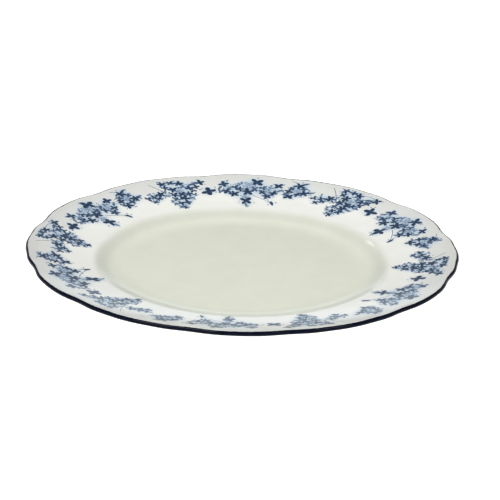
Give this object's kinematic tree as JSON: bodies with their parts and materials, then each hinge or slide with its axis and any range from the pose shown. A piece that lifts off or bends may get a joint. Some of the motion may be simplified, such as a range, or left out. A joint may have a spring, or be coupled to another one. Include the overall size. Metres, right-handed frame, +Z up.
{
  "type": "serving platter",
  "caption": "Round china serving platter with a flat well, a wide raised marly, a lobed lip with a painted edge band, a printed floral border and an unglazed foot ring.",
  "frame": {"origin": "centre of the platter's outline on the plane it rests on", "axes": "+Z up out of the well; the platter is round, and +X and +Y both pass through the middle of a lobe of its lip"},
  "size_m": [0.36, 0.36, 0.024],
  "materials": {
    "glaze": "glossy cream-white glaze over fired china",
    "cobalt_band": "glossy near-black cobalt band under glaze",
    "biscuit": "matt unglazed fired clay",
    "cobalt_print": "cobalt blue transfer print under a glossy glaze"
  },
  "bodies": {
    "root": {"platter_body": "glaze", "edge_band": "cobalt_band", "foot_ring": "biscuit", "print_1_bunch": "cobalt_print", "print_1_leaves": "cobalt_print", "print_1_posy": "cobalt_print", "print_1_spray": "cobalt_print", "print_1_single": "cobalt_print", "print_2_bunch": "cobalt_print", "print_2_leaves": "cobalt_print", "print_2_posy": "cobalt_print", "print_2_spray": "cobalt_print", "print_2_single": "cobalt_print", "print_3_bunch": "cobalt_print", "print_3_leaves": "cobalt_print", "print_3_posy": "cobalt_print", "print_3_spray": "cobalt_print", "print_3_single": "cobalt_print", "print_4_bunch": "cobalt_print", "print_4_leaves": "cobalt_print", "print_4_posy": "cobalt_print", "print_4_spray": "cobalt_print", "print_4_single": "cobalt_print", "print_5_bunch": "cobalt_print", "print_5_leaves": "cobalt_print", "print_5_posy": "cobalt_print", "print_5_spray": "cobalt_print", "print_5_single": "cobalt_print", "print_6_bunch": "cobalt_print", "print_6_leaves": "cobalt_print", "print_6_posy": "cobalt_print", "print_6_spray": "cobalt_print", "print_6_single": "cobalt_print"}
  },
  "joints": []
}
